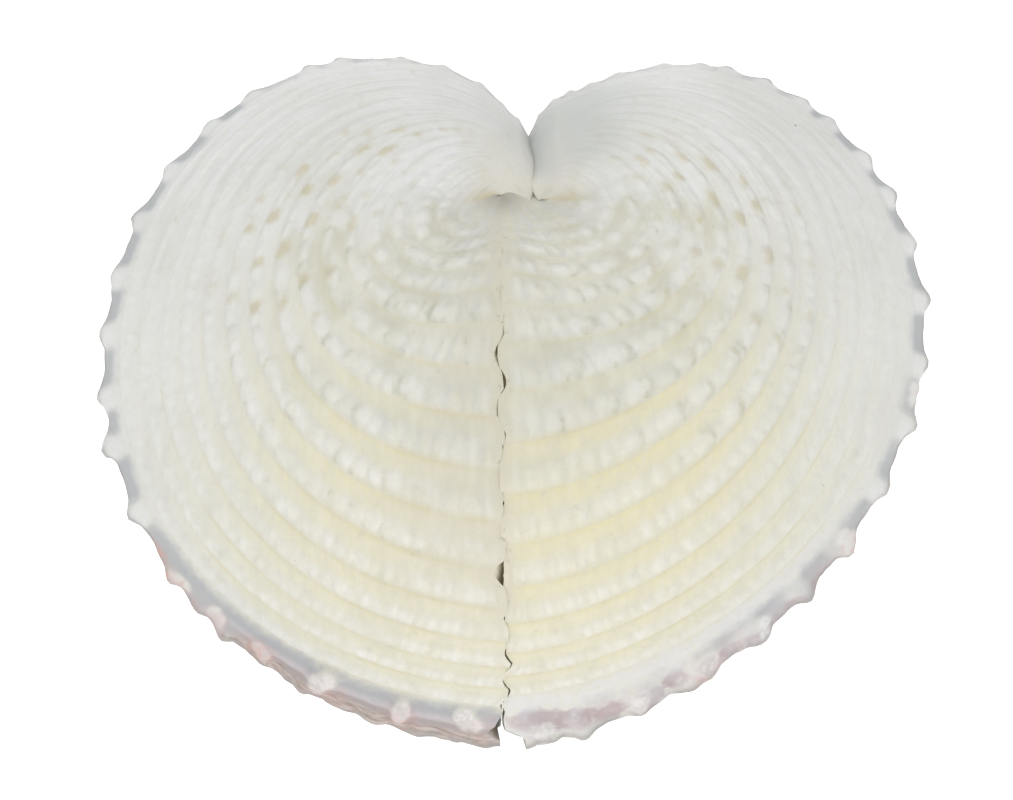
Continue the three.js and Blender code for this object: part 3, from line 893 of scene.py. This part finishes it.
def shell_material(name, **amounts):
    """The shell's skin as a material, with the valve's own amounts for the skin's inputs."""
    material = bpy.data.materials.new(name)
    material.use_nodes = True
    w = Wiring(material.node_tree)
    shader = material.node_tree.nodes["Principled BSDF"]
    skin_node = w.node("ShaderNodeGroup", node_tree=skin)
    for label, amount in amounts.items():
        skin_node.inputs[label].default_value = amount
    relief = w.node("ShaderNodeBump")
    relief.inputs["Strength"].default_value = 0.30
    relief.inputs["Distance"].default_value = 0.08 * MM
    w.feed(relief.inputs["Height"], skin_node.outputs["Height"])
    w.feed(shader.inputs["Base Color"], skin_node.outputs["Color"])
    w.feed(shader.inputs["Roughness"], skin_node.outputs["Roughness"])
    w.feed(shader.inputs["Normal"], relief.outputs["Normal"])
    # painted light: the glow on the inside faces
    w.feed(shader.inputs["Emission Color"], skin_node.outputs["Glow"])
    shader.inputs["Emission Strength"].default_value = 1.0
    shader.inputs["Specular IOR Level"].default_value = 0.4
    return material


left_skin = shell_material("left_valve_shell", Gold=0.72, Windows=1.0, Blush=1.0, Dull=0.72)
right_skin = shell_material("right_valve_shell", Gold=1.10, Windows=0.95, Blush=0.8, Dull=0.25)
left_shell.data.materials.append(left_skin)
right_shell.data.materials.append(right_skin)
for piece, node, slot in (
    (left_shell, "left_valve", "left_valve_shell"),
    (right_shell, "right_valve", "right_valve_shell"),
):
    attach(piece, "root")
    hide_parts(node)


# ---- the ligament ----
# A short horny band, dried grey-brown, bedded in the seam just below the two beaks and sunk out of
# sight between the valves. It slopes down toward the beaks.
BAND_HALVES = (0.24 * MM, 1.5 * MM, 0.30 * MM)
BAND_SLOPE = math.atan2(0.8, 2.0)
BAND_DEPTH = 0.60 * MM
bm = bmesh.new()
bmesh.ops.create_uvsphere(bm, u_segments=20, v_segments=14, radius=1.0)
bmesh.ops.scale(bm, vec=BAND_HALVES, verts=bm.verts)
bmesh.ops.rotate(bm, verts=bm.verts, cent=(0, 0, 0), matrix=Matrix.Rotation(-BAND_SLOPE, 3, "X"))
bedding = (ligament_low + ligament_high) / 2 - Vector((0, 0, BAND_DEPTH))
bmesh.ops.translate(bm, vec=bedding, verts=bm.verts)
ligament = add_object("ligament_band", bm)
horn = bpy.data.materials.new("ligament_horn")
horn.use_nodes = True
w = Wiring(horn.node_tree)
horn_shader = horn.node_tree.nodes["Principled BSDF"]
horn_colour = w.blend(w.noise(1500, 3), srgb(186, 182, 168), srgb(214, 211, 198))
w.feed(horn_shader.inputs["Base Color"], horn_colour)
horn_shader.inputs["Roughness"].default_value = 0.7
ligament.data.materials.append(horn)
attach(ligament, "root")
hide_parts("ligament")


# ---- the table, light and camera ----
# A plain white surface under the shell, lit from all round, and a camera straight above.
bm = bmesh.new()
bmesh.ops.create_grid(bm, x_segments=1, y_segments=1, size=1.5)
table = add_object("table", bm, smooth=False)
table_paint = bpy.data.materials.new("table_white")
table_paint.use_nodes = True
table_shader = table_paint.node_tree.nodes["Principled BSDF"]
table_shader.inputs["Base Color"].default_value = (0.9, 0.9, 0.9, 1)
table_shader.inputs["Roughness"].default_value = 0.9
table_shader.inputs["Emission Color"].default_value = (1, 1, 1, 1)
table_shader.inputs["Emission Strength"].default_value = 0.38
table.data.materials.append(table_paint)

scene = bpy.context.scene
scene.view_settings.view_transform = "Standard"
world = bpy.data.worlds.new("soft_room")
scene.world = world
world.use_nodes = True
room = world.node_tree.nodes["Background"]
room.inputs["Color"].default_value = (1, 1, 1, 1)
room.inputs["Strength"].default_value = 0.45


def soft_light(name, place, size, power):
    """A square light turned to face the shell."""
    light = bpy.data.lights.new(name, "AREA")
    light.size = size
    light.energy = power
    lamp = bpy.data.objects.new(name, light)
    lamp.location = place
    lamp.rotation_euler = (-Vector(place)).to_track_quat("-Z", "Y").to_euler()
    scene.collection.objects.link(lamp)


soft_light("front_light", (0.05, -0.55, 0.42), 0.45, 2.0)
soft_light("back_light", (-0.10, 0.50, 0.45), 0.40, 1.2)
soft_light("left_light", (-0.55, 0.05, 0.42), 0.40, 0.84)
soft_light("right_light", (0.55, 0.00, 0.42), 0.40, 0.78)

LENS = 135
SENSOR = 36
VIEW_WIDTH = 72.8347 * MM
camera = bpy.data.cameras.new("camera")
camera.lens = LENS
camera.sensor_width = SENSOR
camera.clip_start = 0.01
viewer = bpy.data.objects.new("camera", camera)
viewer.location = (-0.5 * MM, 0.3 * MM, BEAK.z * MM + VIEW_WIDTH * LENS / SENSOR)
scene.collection.objects.link(viewer)
scene.camera = viewer
